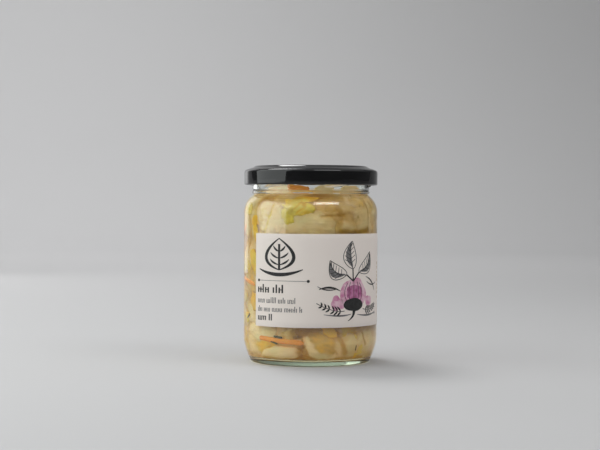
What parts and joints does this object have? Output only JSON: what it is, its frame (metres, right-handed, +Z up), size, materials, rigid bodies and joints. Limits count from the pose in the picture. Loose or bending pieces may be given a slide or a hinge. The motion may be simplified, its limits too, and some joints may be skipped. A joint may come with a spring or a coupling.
{
  "type": "kimchi jar",
  "caption": "Sealed round glass jar of white kimchi with a black twist-off lid and a wrap-round paper label that leaves a clear window.",
  "frame": {"origin": "middle of the jar's foot, on the surface it stands on", "axes": "+Z up along the jar's axis, -Y towards the front of the label"},
  "size_m": [0.0863, 0.0866, 0.1258],
  "materials": {
    "clear_glass": "clear, faintly green, smooth",
    "pickled_cabbage": "wet, uneven, partly translucent",
    "label_paper": "uncoated, warm white",
    "black_lacquer": "glossy black lacquer on pressed steel"
  },
  "bodies": {
    "root": {"jar_glass": "clear_glass", "kimchi": "pickled_cabbage", "label": "label_paper", "lid": "black_lacquer"}
  },
  "joints": []
}
